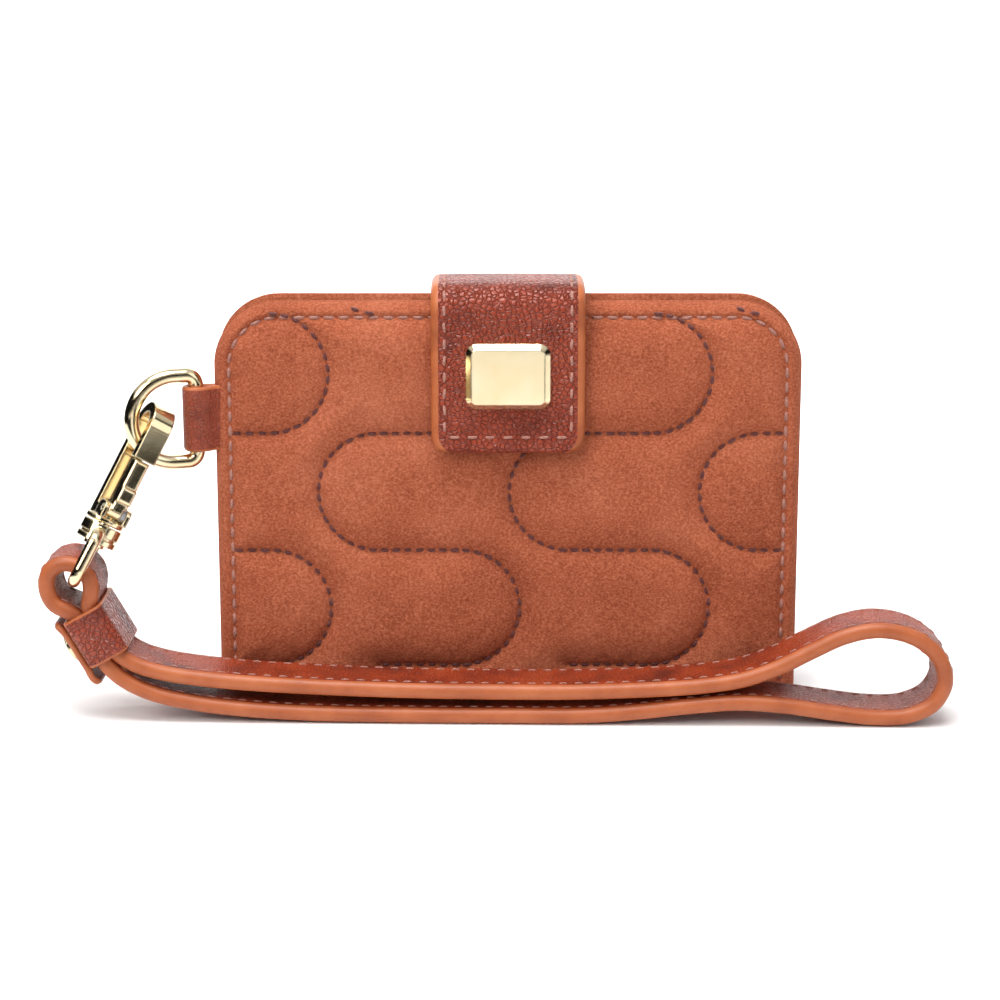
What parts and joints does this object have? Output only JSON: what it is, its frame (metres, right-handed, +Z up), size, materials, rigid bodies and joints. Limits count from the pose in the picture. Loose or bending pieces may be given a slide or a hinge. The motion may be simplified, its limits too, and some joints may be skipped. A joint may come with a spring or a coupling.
{
  "type": "wristlet wallet",
  "caption": "Quilted suede bifold wallet with a snap-down closure tab, zipped coin pocket and a clip-on leather wrist strap on a side D-ring.",
  "frame": {"origin": "middle of the flat underside of the spine, midway between the wallet's front and back", "axes": "+Z up from spine to top edge, the quilted front with the tab faces -Y, +X towards the looped end of the strap"},
  "size_m": [0.1764, 0.038, 0.0833],
  "materials": {
    "suede": "napped",
    "wadding": "matte",
    "lining": "satin",
    "tab_leather": "pebbled satin",
    "strap_leather": "pebbled satin",
    "zip_tape": "matte",
    "pale_gold": "polished",
    "snap_metal": "satin",
    "spring_steel": "satin"
  },
  "bodies": {
    "front_half": {"front_cover": "suede", "front_wadding": "wadding", "front_lining": "lining", "front_slip_pocket": "lining", "snap_base": "snap_metal", "d_ring_loop": "tab_leather"},
    "back_half": {"back_cover": "suede", "back_wadding": "wadding", "back_lining": "lining", "spine_panel": "suede", "card_panel": "lining", "card_slot_1": "lining", "card_slot_2": "lining", "card_slot_3": "lining", "coin_pocket": "lining", "zip_tape_front": "zip_tape", "zip_tape_back": "zip_tape", "zip_teeth": "pale_gold"},
    "closure_tab_flap": {"closure_tab": "tab_leather", "closure_tab_lining": "lining", "tab_ornament": "pale_gold", "ornament_clinch_plate": "snap_metal", "snap_cap": "snap_metal"},
    "zip_slider_body": {"zip_slider": "pale_gold"},
    "zip_pull_body": {"zip_pull": "pale_gold"},
    "d_ring_body": {"d_ring": "pale_gold"},
    "snap_hook": {"hook_body": "pale_gold", "gate_pin": "pale_gold", "gate_spring": "spring_steel", "swivel_post": "pale_gold"},
    "hook_gate_body": {"hook_gate": "pale_gold"},
    "swivel": {"swivel_eye": "pale_gold"},
    "wrist_strap_body": {"wrist_strap": "strap_leather", "strap_keeper": "tab_leather", "strap_tail": "strap_leather", "strap_rivet": "pale_gold"}
  },
  "joints": [
    {"name": "back_open", "type": "hinge", "parent": "front_half", "child": "back_half", "pos_m": [0, -0.00505, 0], "axis": [-1, 0, 0], "range_deg": [0, 170]},
    {"name": "tab_lift", "type": "hinge", "parent": "back_half", "child": "closure_tab_flap", "pos_m": [0, 0.0056, 0.08175], "axis": [-1, 0, 0], "range_deg": [0, 150]},
    {"name": "zip_travel", "type": "slide", "parent": "back_half", "child": "zip_slider_body", "axis": [1, 0, 0], "range_m": [0, 0.076]},
    {"name": "pull_turn", "type": "hinge", "parent": "zip_slider_body", "child": "zip_pull_body", "pos_m": [-0.038, 0.00155, 0.0608], "axis": [0, -1, 0], "range_deg": [0, 115]},
    {"name": "d_ring_swing", "type": "hinge", "parent": "front_half", "child": "d_ring_body", "pos_m": [-0.061, -0.0062, 0.0567], "axis": [0, 0, 1], "range_deg": [-80, 0]},
    {"name": "hook_swing", "type": "hinge", "parent": "d_ring_body", "child": "snap_hook", "pos_m": [-0.07153, -0.01003, 0.05157], "axis": [0.5609, 0.2041, -0.8023], "range_deg": [0, 10]},
    {"name": "gate_press", "type": "hinge", "parent": "snap_hook", "child": "hook_gate_body", "pos_m": [-0.07583, -0.0173, 0.04034], "axis": [-0.7869, -0.3343, 0.5187], "range_deg": [0, 20], "stiffness_Nm_per_rad": 0.02, "springref_deg": -20.05},
    {"name": "swivel_turn", "type": "hinge", "parent": "snap_hook", "child": "swivel", "pos_m": [-0.07836, -0.0155, 0.03766], "axis": [0.4432, 0.2787, 0.852], "range_deg": [-170, 0]},
    {"name": "strap_swing", "type": "hinge", "parent": "swivel", "child": "wrist_strap_body", "pos_m": [-0.08382, -0.01893, 0.02719], "axis": [-0.1286, 0.9604, -0.2472], "range_deg": [0, 55]}
  ]
}
